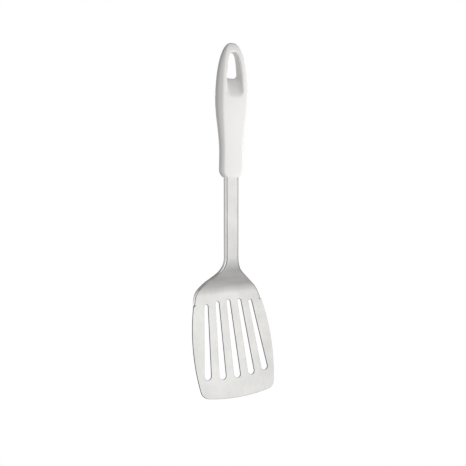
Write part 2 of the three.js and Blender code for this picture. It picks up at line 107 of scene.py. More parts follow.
def patch(bottom, top, left, right, across, up):
    """A flat grid inside four border lines (a Coons patch): the straight blend from bottom to top,
    plus how far the left and right lines lie from it, fading across. Rows run up, columns
    across."""
    u, v = across[None, :, None], up[:, None, None]
    rows = (1 - v) * bottom[None] + v * top[None]
    ends_left = left[:, None] - rows[:, :1]
    ends_right = right[:, None] - rows[:, -1:]
    return rows + (1 - u) * ends_left + u * ends_right


def quads(index):
    """Corner indices of the cells of an index grid, counter-clockwise with rows up and columns
    right."""
    corners = [index[:-1, :-1], index[:-1, 1:], index[1:, 1:], index[1:, :-1]]
    return np.stack(corners, axis=-1).reshape(-1, 4)


def smooth_normals(points, faces):
    """Each point's mean of the normals of its faces: the crossed diagonals of every cell."""
    corners = points[faces]
    normal = np.cross(corners[:, 2] - corners[:, 0], corners[:, 3] - corners[:, 1])
    total = np.zeros_like(points)
    for corner in range(4):
        np.add.at(total, faces[:, corner], normal)
    return total / np.linalg.norm(total, axis=1, keepdims=True)


def side_at(distance):
    """The blade's side, an arc: half-width at a distance from the tip, less the edge round."""
    reach = SIDE_RADIUS - EDGE_ROUND
    return BLADE_HALF - SIDE_RADIUS + np.sqrt(reach ** 2 - (distance - BLADE_WIDEST_AT) ** 2)


def tip_corner(skew):
    """Right-hand corner of the tip: a circle that touches the side's arc and the tip's arc from
    inside. Gives its centre, its turns at the side and at the tip, and the tip arc's centre."""
    side = np.array([BLADE_HALF - SIDE_RADIUS, BLADE_WIDEST_AT])
    tip = TIP_RADIUS * np.array([math.sin(skew), math.cos(skew)])
    to_side, to_tip, gap = SIDE_RADIUS - CORNER_RADIUS, TIP_RADIUS - CORNER_RADIUS, tip - side
    span = np.hypot(*gap)
    along = (to_side ** 2 - to_tip ** 2 + span ** 2) / (2 * span)
    aside = math.sqrt(to_side ** 2 - along ** 2)
    centre = side + gap / span * along + np.array([gap[1], -gap[0]]) / span * aside
    return centre, math.atan2(*(centre - side)[::-1]), math.atan2(*(centre - tip)[::-1]), tip


def slot_half(place, side):
    """Half of one slot's outline from its lowest to its highest point: part of the large round
    end, the line that touches both ends, part of the small round end. Side is 1 for right, -1 for
    left."""
    low, high = SLOT_BOTTOM_RADIUS + EDGE_ROUND, SLOT_TOP_RADIUS + EDGE_ROUND
    foot = np.array([place * SLOT_BOTTOM_PITCH, 0.0])
    head = np.array([place * SLOT_TOP_PITCH, 0.0])
    foot[1] = SLOT_BOTTOM_AT + SLOT_BOTTOM_RADIUS + foot[0] ** 2 / (2 * SLOT_BOTTOM_SWEEP)
    head[1] = SLOT_TOP_AT - SLOT_TOP_RADIUS - head[0] ** 2 / (2 * SLOT_TOP_SWEEP)
    lean = math.atan2(head[0] - foot[0], head[1] - foot[1])
    touch = math.pi / 2 - side * lean - math.acos((low - high) / np.hypot(*(head - foot)))
    start = arc((0, 0), low, -math.pi / 2, touch, SLOT_END_POINTS) * (side, 1) + foot
    end = arc((0, 0), high, touch, math.pi / 2, SLOT_END_POINTS) * (side, 1) + head
    line = start[-1] + np.linspace(0, 1, SLOT_SIDE_POINTS)[1:-1, None] * (end[0] - start[-1])
    return np.concatenate([start, line, end])


def rim_section(half, distance, slope):
    """Level cuts through the turned-back edge: for each row the face's end, then the points of bend
    and flange as (across, depth), outside and inside. The bend keeps its developed length while it
    unrolls into the flat blade: a full turn is a quarter circle, no turn is a straight strip."""
    fade = np.clip((distance - RIM_END) / RIM_FADE, 0, 1)
    unroll = np.clip((distance - RIM_END) / RIM_UNROLL, 0, 1)
    turn = FLAT_TURN + (math.pi / 2 - FLAT_TURN) * unroll ** 2 * (3 - 2 * unroll)
    rim = RIM_EDGE + (RIM_DEPTH - BEND_RADIUS - RIM_EDGE) * fade
    radius = BEND_RADIUS * math.pi / 2 / turn
    start = half - radius * np.sin(turn) - rim * np.cos(turn)
    bend_share = np.linspace(0, 1, BEND_STEPS + 1)[1:]
    flange_share = np.linspace(0, 1, FLANGE_STEPS + 1)[1:]
    turn, radius, flange = turn[:, None], radius[:, None], (rim - EDGE_ROUND)[:, None]
    angle = np.concatenate([turn * bend_share, turn.repeat(FLANGE_STEPS, axis=1)], axis=1)
    past = np.concatenate([np.zeros((len(half), BEND_STEPS)), flange * flange_share], axis=1)
    wall_across = (SHEET * np.hypot(1, slope))[:, None]
    wall_through = (SHEET / np.cos(spine(distance)[2]))[:, None]

    def skin(across, through):
        """One skin of bend and flange, from the bend's radius across and through the sheet."""
        x = start[:, None] + across * np.sin(angle) + past * np.cos(angle)
        return x, radius - through * np.cos(angle) + past * np.sin(angle)

    inner_across = np.maximum(radius - wall_across, TIGHTEST_BEND)
    inner_through = np.maximum(radius - wall_through, TIGHTEST_BEND)
    return start, skin(radius, radius), skin(inner_across, inner_through)


def blank_edge():
    """The blank's right-hand edge above the slots: half-width, distance and slope. The side's arc,
    a rounding into the shoulder, the straight slope, the neck's hollow arc, the straight shank."""
    inwards = np.array([-math.cos(SHOULDER_SLOPE), -math.sin(SHOULDER_SLOPE)])
    outwards = np.array([math.sin(SHOULDER_SLOPE), -math.cos(SHOULDER_SLOPE)])
    side = np.array([BLADE_HALF - SIDE_RADIUS, BLADE_WIDEST_AT])
    neck = np.array([SHANK_HALF, CRANK_END - NECK_DROP])
    from_side = neck + inwards * SHOULDER_RADIUS - side
    along = from_side @ outwards
    reach = (SIDE_RADIUS - SHOULDER_RADIUS) ** 2
    shoulder = from_side + side
    shoulder = shoulder + outwards * (math.sqrt(along ** 2 - from_side @ from_side + reach) - along)
    turn = math.atan2(*(shoulder - side)[::-1])
    neck_run = NECK_RADIUS * math.tan(SHOULDER_SLOPE / 2)
    neck_top = neck[1] + neck_run
    neck_centre = (SHANK_HALF + NECK_RADIUS, neck_top)
    slope_start, slope_end = shoulder - inwards * SHOULDER_RADIUS, neck + outwards * neck_run
    shank_at = np.linspace(neck_top, TANG_TOP - EDGE_ROUND, SHANK_POINTS)
    low = math.asin((SLOT_ROW_END - BLADE_WIDEST_AT) / SIDE_RADIUS)
    edge = np.concatenate([
        arc(side, SIDE_RADIUS, low, turn, ROUND_POINTS)[:-1],
        arc(shoulder, SHOULDER_RADIUS, turn, SHOULDER_SLOPE, ROUND_POINTS)[:-1],
        np.linspace(slope_start, slope_end, SLOPE_POINTS)[:-1],
        arc(neck_centre, NECK_RADIUS, SHOULDER_SLOPE + math.pi, math.pi, NECK_POINTS)[:-1],
        np.stack([np.full(SHANK_POINTS, SHANK_HALF), shank_at], axis=1),
    ])
    slope = np.gradient(edge[:, 0]) / np.gradient(edge[:, 1])
    return edge[:, 0], edge[:, 1], slope


# Flat layout of the blade: columns run through the webs between the slots, then the bend and rim.
web_share = np.linspace(0, 1, WEB_POINTS)
slot_tops, slot_bottoms = SLOT_PLACES * SLOT_TOP_PITCH, SLOT_PLACES * SLOT_BOTTOM_PITCH
top_level, bottom_level = SLOT_TOP_AT + EDGE_ROUND, SLOT_BOTTOM_AT - EDGE_ROUND
edge_half, edge_at, edge_slope = blank_edge()
face_end, rim_out, rim_in = rim_section(edge_half, edge_at, edge_slope)
knots = np.concatenate([[-face_end[0]], slot_tops, [face_end[0]]])
face_x = (knots[:-1, None] + np.diff(knots)[:, None] * web_share[:-1]).ravel()
face_x = np.append(face_x, face_end[0])
outer = rim_out[0].shape[1]
columns = len(face_x) + 2 * outer
face_fraction = face_x / face_end[0]

# Row through the slots' tops, which is the first row of the upper sheet.
slot_top_row = np.concatenate([
    np.stack([-rim_out[0][0, ::-1], np.full(outer, SLOT_ROW_END)], axis=1),
    np.stack([face_x, top_level - face_x ** 2 / (2 * SLOT_TOP_SWEEP)], axis=1),
    np.stack([rim_out[0][0], np.full(outer, SLOT_ROW_END)], axis=1),
])
sag = (top_level - face_end[0] ** 2 / (2 * SLOT_TOP_SWEEP)) - SLOT_ROW_END
past_slots = np.clip((np.abs(face_x) - slot_tops[-1]) / (face_end[0] - slot_tops[-1]), 0, 1)
slot_top_row[outer:-outer, 1] -= sag * past_slots

# Row through the slots' lowest points.
half_there = side_at(LOWEST_END)
last_web = slot_top_row[-outer - WEB_POINTS:, 0] - slot_tops[-1]
last_web = last_web / (slot_top_row[-1, 0] - slot_tops[-1])
inner_x = (slot_bottoms[:-1, None] + np.diff(slot_bottoms)[:, None] * web_share[:-1]).ravel()
right_web = slot_bottoms[-1] + last_web * (half_there - slot_bottoms[-1])
row_x = np.concatenate([-right_web[:0:-1], inner_x, right_web])
row_sag = bottom_level + half_there ** 2 / (2 * SLOT_BOTTOM_SWEEP) - LOWEST_END
past_slots = np.clip((np.abs(row_x) - slot_bottoms[-1]) / (half_there - slot_bottoms[-1]), 0, 1)
row_y = bottom_level + row_x ** 2 / (2 * SLOT_BOTTOM_SWEEP) - row_sag * past_slots
slot_bottom_row = np.stack([row_x, row_y], axis=1)

# Tip: its curve with half of each rounded corner; the rest of the corners runs up the sides.
right_corner, right_side, right_tip, tip_centre = tip_corner(TIP_SKEW)
left_corner, left_side, left_tip, _ = tip_corner(-TIP_SKEW)
mirror = np.array([-1.0, 1.0])
middle_right, middle_left = (right_side + right_tip) / 2, (left_side + left_tip) / 2
inner_corner, inner_tip = CORNER_RADIUS - EDGE_ROUND, TIP_RADIUS - EDGE_ROUND
tip_line = np.concatenate([
    arc(left_corner, inner_corner, middle_left, left_tip, ROUND_POINTS)[:-1] * mirror,
    arc(tip_centre, inner_tip, -math.pi - left_tip, right_tip, TIP_POINTS)[:-1],
    arc(right_corner, inner_corner, right_tip, middle_right, ROUND_POINTS),
])
row_share = (row_x + half_there) / (2 * half_there)
tip_row = spread(tip_line, row_share)


def side_line(corner, middle, side_turn, share):
    """From the middle of a rounded corner up the blade's side to the row of the slots' lowest
    points: the corner's arc, then the side's arc, at shares of their length."""
    round_part = arc(corner, inner_corner, middle, side_turn, ROUND_POINTS)
    height = np.linspace(round_part[-1, 1], LOWEST_END, SIDE_POINTS)[1:]
    side_part = np.stack([side_at(height), height], axis=1)
    return spread(np.concatenate([round_part, side_part]), share)


tip_rows = np.linspace(0, 1, TIP_ROWS)
tip_part = patch(
    tip_row, slot_bottom_row,
    side_line(left_corner, middle_left, left_side, tip_rows) * mirror,
    side_line(right_corner, middle_right, right_side, tip_rows),
    row_share, tip_rows,
)

# Upper sheet: its first rows straighten, and then they follow the blank's edge upwards.
rows_up = len(edge_at)
level = np.clip((edge_at - SLOT_ROW_END) / (STRAIGHT_AT - SLOT_ROW_END), 0, 1)[:, None]
straight_row = np.maximum(edge_at, STRAIGHT_AT)[:, None]
face_at = (1 - level) * slot_top_row[None, outer:-outer, 1] + level * straight_row
rim_at = edge_at[:, None].repeat(outer, 1)
face_across = face_fraction * face_end[:, None]
up_x = np.concatenate([-rim_out[0][:, ::-1], face_across, rim_out[0]], axis=1)
up_at = np.concatenate([rim_at, face_at, rim_at], axis=1)
up_back = np.concatenate([rim_out[1][:, ::-1], np.zeros_like(face_at), rim_out[1]], axis=1)
in_x = np.concatenate([-rim_in[0][:, ::-1], face_across, rim_in[0]], axis=1)
face_wall = SHEET / np.cos(spine(face_at)[2])
in_back = np.concatenate([rim_in[1][:, ::-1], face_wall, rim_in[1]], axis=1)


def square_through(lean):
    """The step through the sheet, square to its face, where the face leans by an angle."""
    return SHEET * np.stack([np.zeros_like(lean), np.cos(lean), np.sin(lean)], axis=-1)


def on_blade(points):
    """Flat blade points set on its pitched face, with the step through the sheet."""
    y, z, lean = spine(points[..., 1])
    return np.stack([points[..., 0], y, z], axis=-1), square_through(lean)


y, z, lean = spine(up_at)
upper_front = np.stack([up_x, y + up_back, z], axis=-1)
level_step = np.stack([in_x - up_x, in_back - up_back, np.zeros_like(z)], axis=-1)
settle = np.clip((edge_at - SLOT_ROW_END) / SETTLE_RUN, 0, 1)[:, None, None]
upper_step = (1 - settle) * square_through(lean) + settle * level_step

# Index grids: the tip part and the upper sheet are whole, the webs between the slots stand apart.
tip_front, tip_step = on_blade(tip_part)
front = [tip_front.reshape(-1, 3), upper_front.reshape(-1, 3)]
step = [tip_step.reshape(-1, 3), upper_step.reshape(-1, 3)]
tip_index = np.arange(tip_part.shape[0] * columns).reshape(-1, columns)
upper_index = tip_index.size + np.arange(rows_up * columns).reshape(-1, columns)
count = tip_index.size + upper_index.size
slots = len(SLOT_PLACES)
slot_columns = outer + (WEB_POINTS - 1) * np.arange(1, slots + 1)
web_columns = np.concatenate([[0], slot_columns, [columns - 1]])
slot_left = [slot_half(place, -1) for place in SLOT_PLACES]
slot_right = [slot_half(place, 1) for place in SLOT_PLACES]
webs = []
for web in range(slots + 1):
    first, last = web_columns[web], web_columns[web + 1]
    near = slot_right[web - 1] if web else slot_left[0]
    rise = (near[:, 1] - near[0, 1]) / (near[-1, 1] - near[0, 1])
    height = LOWEST_END + rise * (SLOT_ROW_END - LOWEST_END)
    edge = np.stack([side_at(height), height], axis=1)
    left = slot_right[web - 1] if web else edge * mirror
    right = slot_left[web] if web < slots else edge
    bottom, top = slot_bottom_row[first:last + 1], slot_top_row[first:last + 1]
    share = (bottom[:, 0] - bottom[0, 0]) / (bottom[-1, 0] - bottom[0, 0])
    inside = patch(bottom, top, left, right, share, rise)[1:-1]
    index = count + np.arange(inside.shape[0] * inside.shape[1]).reshape(inside.shape[:2])
    count += index.size
    web_front, web_step = on_blade(inside)
    front.append(web_front.reshape(-1, 3))
    step.append(web_step.reshape(-1, 3))
    below, above = tip_index[-1:, first:last + 1], upper_index[:1, first:last + 1]
    webs.append(np.concatenate([below, index, above]))
front, step = np.concatenate(front), np.concatenate(step)
face_quads = np.concatenate([quads(grid) for grid in [tip_index, upper_index] + webs])
back = front + step
back_quads = face_quads[:, ::-1] + count
front_normal = smooth_normals(front, face_quads)
back_normal = smooth_normals(back, face_quads[:, ::-1])

# Cut edges: a narrow rounded profile carried round the blank and round every slot.
edge_turn = np.radians([30, 60, 90])
edge_steps = 2 * len(edge_turn)
edge_out = EDGE_ROUND * np.concatenate([np.sin(edge_turn), np.sin(edge_turn)[::-1]])
edge_through = EDGE_ROUND / SHEET * (1 - np.cos(edge_turn))
edge_through = np.concatenate([edge_through, 1 - edge_through[::-1]])[:, None, None]
facing = np.concatenate([np.cos(edge_turn), np.cos(edge_turn)[::-1]])[:, None, None]
on_front = np.arange(edge_steps)[:, None, None] < len(edge_turn)
points, normals, faces = [front, back], [front_normal, back_normal], [face_quads, back_quads]
total = 2 * count
loops = [np.concatenate([webs[n][:, -1], webs[n + 1][-2:0:-1, 0]]) for n in range(slots)]
right_edge = np.concatenate([tip_index[:, -1], webs[-1][1:-1, -1], upper_index[:, -1]])
left_edge = np.concatenate([tip_index[:, 0], webs[0][1:-1, 0], upper_index[:, 0]])
tip_edge, tang_edge = tip_index[0], upper_index[-1]
loops.append(np.concatenate([
    tip_edge[:-1], right_edge[:-1], tang_edge[:0:-1], left_edge[:0:-1],
]))
for loop in loops:
    along = np.roll(front[loop], -1, axis=0) - np.roll(front[loop], 1, axis=0)
    outwards = np.cross(along, front_normal[loop])
    outwards /= np.linalg.norm(outwards, axis=1, keepdims=True)
    ring = front[loop] + edge_out[:, None, None] * outwards + edge_through * step[loop]
    side = np.where(on_front, front_normal[loop], back_normal[loop])
    tilt = facing * side + np.sqrt(1 - facing ** 2) * outwards
    index = total + np.arange(ring.shape[0] * ring.shape[1]).reshape(ring.shape[:2])
    total += index.size
    index = np.concatenate([loop[None], index, loop[None] + count])
    index = np.concatenate([index, index[:, :1]], axis=1)
    points.append(ring.reshape(-1, 3))
    normals.append((tilt / np.linalg.norm(tilt, axis=-1, keepdims=True)).reshape(-1, 3))
    faces.append(quads(index)[:, ::-1])
pressing_mesh = bpy.data.meshes.new("pressed_blade")
pressing_mesh.from_pydata(np.concatenate(points) * MILLIMETRE, [], np.concatenate(faces).tolist())
pressing_mesh.shade_smooth()
on_edge = np.repeat([0, 1], [2 * len(face_quads), sum(map(len, faces[2:]))])
pressing_mesh.polygons.foreach_set("material_index", on_edge.astype(np.int32))
pressing_mesh.normals_split_custom_set_from_vertices(np.concatenate(normals))
pressing = bpy.data.objects.new("pressed_blade", pressing_mesh)
bpy.context.scene.collection.objects.link(pressing)

# Satin finish: streaks drawn along the sheet, as a belt leaves it, and faint clouds of polish,
# which together vary the colour and the gloss; the streaks also vary the level.
satin = bpy.data.materials.new("satin_steel")
satin.use_nodes = True
nodes, links = satin.node_tree.nodes, satin.node_tree.links
steel_shader = nodes["Principled BSDF"]
steel_shader.inputs["Metallic"].default_value = 1.0
place = nodes.new("ShaderNodeTexCoord")
draw = nodes.new("ShaderNodeMapping")
draw.inputs["Scale"].default_value = (800, 800, 30)
grain = nodes.new("ShaderNodeTexNoise")
grain.inputs["Scale"].default_value = 1.0
grain.inputs["Detail"].default_value = 4.0
grain.inputs["Roughness"].default_value = 0.65
cloud = nodes.new("ShaderNodeTexNoise")
cloud.inputs["Scale"].default_value = 55.0
cloud.inputs["Detail"].default_value = 2.0
both = nodes.new("ShaderNodeMath")
both.operation = "ADD"
tone_range, gloss_range = (nodes.new("ShaderNodeMapRange") for _ in range(2))
for remap, low, high in ((tone_range, 0.0, 1.0), (gloss_range, 0.33, 0.28)):
    remap.inputs["From Min"].default_value = 0.7
    remap.inputs["From Max"].default_value = 1.3
    remap.inputs["To Min"].default_value = low
    remap.inputs["To Max"].default_value = high
    links.new(both.outputs["Value"], remap.inputs["Value"])
streak = nodes.new("ShaderNodeValToRGB")
streak.color_ramp.elements[0].color = STEEL_DULL
streak.color_ramp.elements[1].color = STEEL_BRIGHT
bump = nodes.new("ShaderNodeBump")
bump.inputs["Strength"].default_value = 0.03
bump.inputs["Distance"].default_value = 0.0001
links.new(place.outputs["Object"], draw.inputs["Vector"])
links.new(draw.outputs["Vector"], grain.inputs["Vector"])
links.new(grain.outputs["Fac"], bump.inputs["Height"])
links.new(bump.outputs["Normal"], steel_shader.inputs["Normal"])
links.new(place.outputs["Object"], cloud.inputs["Vector"])
links.new(grain.outputs["Fac"], both.inputs[0])
links.new(cloud.outputs["Fac"], both.inputs[1])
links.new(tone_range.outputs["Result"], streak.inputs["Fac"])
links.new(streak.outputs["Color"], steel_shader.inputs["Base Color"])
links.new(gloss_range.outputs["Result"], steel_shader.inputs["Roughness"])
pressing_mesh.materials.append(satin)

# Cut edges: left as the press sheared them, rougher and duller than the faces; their near-black
# colour is painted shade, which darkens the walls of the slots and the blank's outline.
sheared_painted_shade = bpy.data.materials.new("sheared_edge_painted_shade")
sheared_painted_shade.use_nodes = True
edge_shader = sheared_painted_shade.node_tree.nodes["Principled BSDF"]
edge_shader.inputs["Base Color"].default_value = EDGE_PAINTED_SHADE
edge_shader.inputs["Metallic"].default_value = 1.0
edge_shader.inputs["Roughness"].default_value = 0.5
pressing_mesh.materials.append(sheared_painted_shade)
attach(pressing, "root")
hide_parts("blade_and_shank")


# Moulded grip: glossy white plastic, shot in one piece round the tang, with a rounded nose, a slim
# waist, a swelling belly, and a hanging eye at the top whose foot falls forward as a thumb ramp.
GRIP_TOP, GRIP_LEAN = 8.38, math.radians(1.1)
CORNER_SHARE, CROWN_SHARE = 0.82, 0.12
SWELL_WIDTH, SWELL_DEPTH, SWELL_HEIGHT = 32.4, 13.8, 73.0
WAIST_WIDTH, WAIST_DEPTH, WAIST_HEIGHT = 23.8, 9.8, 23.0
NOSE_WIDTH, NOSE_ROUND = 24.4, 7.0
MOUTH_WIDTH, MOUTH_DEPTH = 16.2, 9.4
ARCH_WIDTH_POWER, ARCH_DEPTH_POWER, ARCH_ROUND_POWER = 2.0, 1.5, 2.4
EYE_WIDTH, EYE_ROUND_POWER, EYE_RIM = 16.5, 2.8, 1.6
EYE_BACK, EYE_FRONT = 22.7, 40.3
EYE_BACK_CORNER, EYE_FRONT_CORNER = 3.0, 5.0
RAMP_POWER = 1.8
FACE_EDGE = math.radians(62)
CUT_Z = -52.0
LEAST_HALF, WELD_REACH = 1e-6, 2e-6
WHITE = (0.806, 0.797, 0.781, 1)

# Points along the outlines, and steps between them.
EYE_SIDE_POINTS, EYE_CORNER_POINTS, EYE_FOOT_POINTS, ARCH_POINTS = 41, 25, 9, 53
FACE_STEPS, BELT_STEPS, RIM_STEPS, WALL_STEPS = 17, 6, 9, 26
NOSE_STEPS, NOSE_CROWDING, BODY_STEPS = 15, 1.5, 48


def grip_size(z):
    """Half-width, half-depth without crown, crown and corner radius of the grip at a height.
    Cosine waves run from nose to waist to swell; above the swell both sizes close as an arch,
    (1 - rise ** power) ** (1 / round power); the nose closes on the shank as a parabola."""
    height = z - NOSE_Z
    rise = np.clip((height - SWELL_HEIGHT) / (GRIP_TOP - NOSE_Z - SWELL_HEIGHT), 0, 1)
    belly_share = np.clip((height - WAIST_HEIGHT) / (SWELL_HEIGHT - WAIST_HEIGHT), 0, 1)
    neck = (1 - np.cos(np.pi * np.clip(height / WAIST_HEIGHT, 0, 1))) / 2
    belly = (1 - np.cos(np.pi * belly_share)) / 2
    width = NOSE_WIDTH + (WAIST_WIDTH - NOSE_WIDTH) * neck + (SWELL_WIDTH - WAIST_WIDTH) * belly
    depth = WAIST_DEPTH + (SWELL_DEPTH - WAIST_DEPTH) * belly
    width = width * (1 - rise ** ARCH_WIDTH_POWER) ** (1 / ARCH_ROUND_POWER)
    depth = depth * (1 - rise ** ARCH_DEPTH_POWER) ** (1 / ARCH_ROUND_POWER)
    inset = np.clip(1 - height / NOSE_ROUND, 0, 1) ** 2
    width = width + (MOUTH_WIDTH - width) * inset
    depth = depth + (MOUTH_DEPTH - depth) * inset
    crown = CROWN_SHARE * depth / 2
    level = depth / 2 - crown
    return width / 2, level, crown, CORNER_SHARE * np.minimum(level, width / 2)


def grip_depth(x, z):
    """Half-depth of the grip at a place on its face: a crowned flat with rounded corners."""
    half, level, crown, radius = grip_size(z)
    past = np.clip(np.abs(x) - (half - radius), 0, radius)
    across = np.clip(x / np.maximum(half, LEAST_HALF), -1, 1)
    return level - radius + np.sqrt(radius ** 2 - past ** 2) + crown * (1 - across ** 2)


def grip_point(x, z, share):
    """A point of the grip between its back (share 1) and front (share -1), about the leaning
    middle plane."""
    return np.stack([x, -math.tan(GRIP_LEAN) * z + share * grip_depth(x, z), z], axis=-1)


def face_edge(z):
    """Half-width at which the face gives way to the belt round the side."""
    half, _, _, radius = grip_size(z)
    return half - radius * (1 - math.sin(FACE_EDGE))


def belt(z, right):
    """The side of the grip from its front edge to its back edge at each height: round, flat,
    round."""
    half, level, crown, radius = (value[:, None] for value in grip_size(z))
    front_turn = np.linspace(FACE_EDGE, math.pi / 2, BELT_STEPS)
    back_turn = np.linspace(math.pi / 2, math.pi - FACE_EDGE, BELT_STEPS)
    turn = np.concatenate([front_turn, back_turn])
    x = half - radius + radius * np.sin(turn)
    behind = np.repeat([-1, 1], BELT_STEPS)
    y = behind * (level - radius) - radius * np.cos(turn)
    y = y - np.sign(np.cos(turn)) * crown * (1 - (x / np.maximum(half, LEAST_HALF)) ** 2)
    return np.stack([right * x, -math.tan(GRIP_LEAN) * z[:, None] + y, z[:, None] + 0 * x], axis=-1)


def eye_outline(foot, corner, swell):
    """Right half of the eye at one layer, from its top to the middle of its foot: sides that widen
    as (1 - (1 - below / length) ** 2) ** (1 / power), a rounded corner, half of the foot. Swell
    moves every point outwards along the outline's normal."""
    below = (foot - corner) * np.linspace(0, 1, EYE_SIDE_POINTS) ** 2
    opening = 1 - (1 - np.clip(below / EYE_FRONT, 0, 1)) ** 2
    half = EYE_WIDTH / 2 * opening ** (1 / EYE_ROUND_POWER)
    side = np.stack([half, -below], axis=1)
    turn = np.linspace(0, math.pi / 2, EYE_CORNER_POINTS)[1:]
    centre = side[-1] - (corner, 0)
    round_part = centre + corner * np.stack([np.cos(turn), -np.sin(turn)], axis=1)
    foot_x = np.linspace(centre[0], 0, EYE_FOOT_POINTS)[1:]
    foot_part = np.stack([foot_x, np.full(len(foot_x), -foot)], axis=1)
    line = np.concatenate([side, round_part, foot_part])
    before = np.concatenate([line[1:2] * (-1, 1), line[:-1]])
    after = np.concatenate([line[1:], line[-2:-1] * (-1, 1)])
    run = after - before
    run /= np.linalg.norm(run, axis=1, keepdims=True)
    return line + swell * np.stack([-run[:, 1], run[:, 0]], axis=1)


def whole(half):
    """A closed loop from its right half, which starts and ends on the middle plane."""
    return np.concatenate([half, half[-2:0:-1] * mirror])


# Head: front and back faces run from the eye's rim out to the arch and down to a level cut below.
front_rim = eye_outline(EYE_FRONT, EYE_FRONT_CORNER, EYE_RIM)
back_rim = eye_outline(EYE_BACK, EYE_BACK_CORNER, EYE_RIM)
arch_z = CUT_Z + (GRIP_TOP - CUT_Z) * np.cos(np.linspace(0, math.pi / 2, ARCH_POINTS))
cut_share = np.cos(np.linspace(0, math.pi / 2, len(front_rim) - ARCH_POINTS + 1))
arch_line = np.stack([face_edge(arch_z), arch_z], axis=1)
cut_x = cut_share * face_edge(np.array([CUT_Z]))
cut_line = np.stack([cut_x, np.full(len(cut_share), CUT_Z)], axis=1)
outline = whole(np.concatenate([arch_line, cut_line[1:]]))
across_rim = np.linspace(0, 1, FACE_STEPS)[:, None, None]
front_line = (1 - across_rim) * whole(front_rim) + across_rim * outline
back_line = (1 - across_rim) * whole(back_rim) + across_rim * outline
head_front = grip_point(front_line[..., 0], front_line[..., 1], -1)
head_back = grip_point(back_line[..., 0], back_line[..., 1], 1)

# Eye: layers from front to back, each rim rounded. The foot rises towards the back as
# 1 - (1 - share of the depth) ** power, which makes the thumb ramp.
near_depth = sum(value[0] for value in grip_size(np.array([-EYE_BACK / 2]))[1:3])
rim_turn = np.linspace(0, math.pi / 2, RIM_STEPS)
rim_share = 1 - EYE_RIM * (1 - np.cos(rim_turn)) / near_depth
rim_swell = EYE_RIM * (1 - np.sin(rim_turn))
wall_share = np.linspace(-rim_share[-1], rim_share[-1], WALL_STEPS)[1:-1]
layer_share = np.concatenate([-rim_share, wall_share, rim_share[::-1]])
layer_swell = np.concatenate([rim_swell, 0 * wall_share, rim_swell[::-1]])
layer_rise = 1 - (1 - np.clip((layer_share + 1) / 2, 0, 1)) ** RAMP_POWER
layer_foot = EYE_FRONT + (EYE_BACK - EYE_FRONT) * layer_rise
layer_corner = EYE_FRONT_CORNER + (EYE_BACK_CORNER - EYE_FRONT_CORNER) * layer_rise
layer_sizes = zip(layer_foot, layer_corner, layer_swell)
layers = np.stack([whole(eye_outline(*sizes)) for sizes in layer_sizes])
eye_wall = grip_point(layers[..., 0], layers[..., 1], layer_share[:, None])

# Body: level rings from the nose up to the cut, close together where the nose rounds in.
nose_z = NOSE_Z + NOSE_ROUND * np.linspace(0, 1, NOSE_STEPS) ** NOSE_CROWDING
body_z = np.concatenate([nose_z, np.linspace(NOSE_Z + NOSE_ROUND, CUT_Z, BODY_STEPS)[1:]])
face_share = np.concatenate([-cut_share, cut_share[-2::-1]])
body_x = face_share * face_edge(body_z)[:, None]
rings = np.concatenate([
    grip_point(body_x, body_z[:, None] + 0 * body_x, -1)[:, :-1],
    belt(body_z, 1)[:, :-1],
    grip_point(body_x, body_z[:, None] + 0 * body_x, 1)[:, :0:-1],
    belt(body_z, -1)[:, ::-1],
], axis=1)


def closed(grid):
    """The grid with its first column repeated, so that its cells close all round."""
    return np.concatenate([grid, grid[:, :1]], axis=1)


grip_points, grip_faces, total = [], [], 0
head = (closed(head_front), closed(head_back), closed(eye_wall))
for grid in head + (rings, belt(arch_z, 1), belt(arch_z, -1)):
    index = total + np.arange(grid.shape[0] * grid.shape[1]).reshape(grid.shape[:2])
    total += index.size
    grip_points.append(grid.reshape(-1, 3))
    grip_faces.extend(quads(index).tolist())
    if grid is rings:
        grip_faces.append(index[0, -2::-1].tolist())
grip_mesh = bpy.data.meshes.new("moulded_grip")
grip_mesh.from_pydata(np.concatenate(grip_points) * MILLIMETRE, [], grip_faces)
weld = bmesh.new()
weld.from_mesh(grip_mesh)
bmesh.ops.remove_doubles(weld, verts=weld.verts, dist=WELD_REACH)
bmesh.ops.recalc_face_normals(weld, faces=weld.faces)
weld.to_mesh(grip_mesh)
weld.free()
grip_mesh.shade_smooth()
grip = bpy.data.objects.new("moulded_grip", grip_mesh)
bpy.context.scene.collection.objects.link(grip)

# Gloss white: an opaque moulding with a slightly uneven polish.
gloss = bpy.data.materials.new("white_plastic")
gloss.use_nodes = True
nodes, links = gloss.node_tree.nodes, gloss.node_tree.links
plastic_shader = nodes["Principled BSDF"]
plastic_shader.inputs["Base Color"].default_value = WHITE
polish_place = nodes.new("ShaderNodeTexCoord")
polish = nodes.new("ShaderNodeTexNoise")
polish.inputs["Scale"].default_value = 90.0
polish.inputs["Detail"].default_value = 3.0
polish_range = nodes.new("ShaderNodeMapRange")
polish_range.inputs["To Min"].default_value = 0.22
polish_range.inputs["To Max"].default_value = 0.28
ripple = nodes.new("ShaderNodeBump")
ripple.inputs["Strength"].default_value = 0.02
ripple.inputs["Distance"].default_value = 0.0004
links.new(polish_place.outputs["Object"], polish.inputs["Vector"])
links.new(polish.outputs["Fac"], polish_range.inputs["Value"])
links.new(polish_range.outputs["Result"], plastic_shader.inputs["Roughness"])
links.new(polish.outputs["Fac"], ripple.inputs["Height"])
links.new(ripple.outputs["Normal"], plastic_shader.inputs["Normal"])
grip_mesh.materials.append(gloss)
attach(grip, "root")
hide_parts("handle")


# Studio: a plain pale floor well below the turner, which hangs by its eye. Camera and reflections
# see floor and backdrop as plain white, and everything else gets their even light.
FLOOR_HALF, FLOOR_Z = 3.0, -1.5
FLOOR_COLOUR = (0.8, 0.8, 0.8, 1)
FILL_STRENGTH = 0.36


